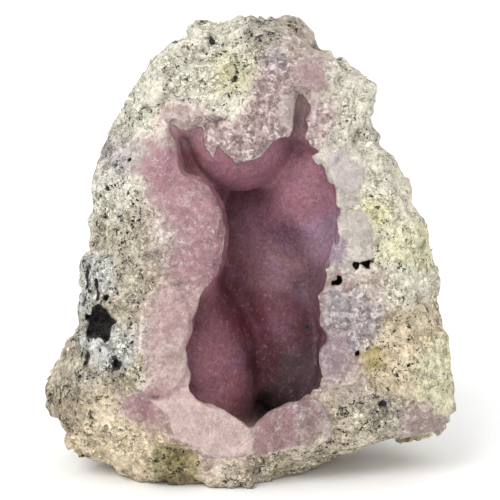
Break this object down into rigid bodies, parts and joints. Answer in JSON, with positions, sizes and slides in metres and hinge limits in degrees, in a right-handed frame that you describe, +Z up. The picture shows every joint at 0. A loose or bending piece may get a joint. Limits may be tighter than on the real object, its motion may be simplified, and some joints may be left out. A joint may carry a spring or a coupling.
{
  "type": "smithsonite specimen",
  "caption": "Upright piece of porous host rock, broken open to show a deep hollow lined with a thick, rounded pink botryoidal crust; rests on its flat underside.",
  "frame": {"origin": "on the surface it rests on, under the middle of the specimen's box", "axes": "+Z up, the open broken face looks along -Y and leans back 12 degrees, +X to the right of someone facing it"},
  "size_m": [0.0847, 0.0504, 0.0933],
  "materials": {
    "porous_matrix": "rough porous cream to ochre matrix with black pores",
    "pink_smithsonite": "satin, slightly translucent pink crust, granular where it is broken"
  },
  "bodies": {
    "root": {"host_rock": "porous_matrix", "smithsonite_crust": "pink_smithsonite"}
  },
  "joints": []
}
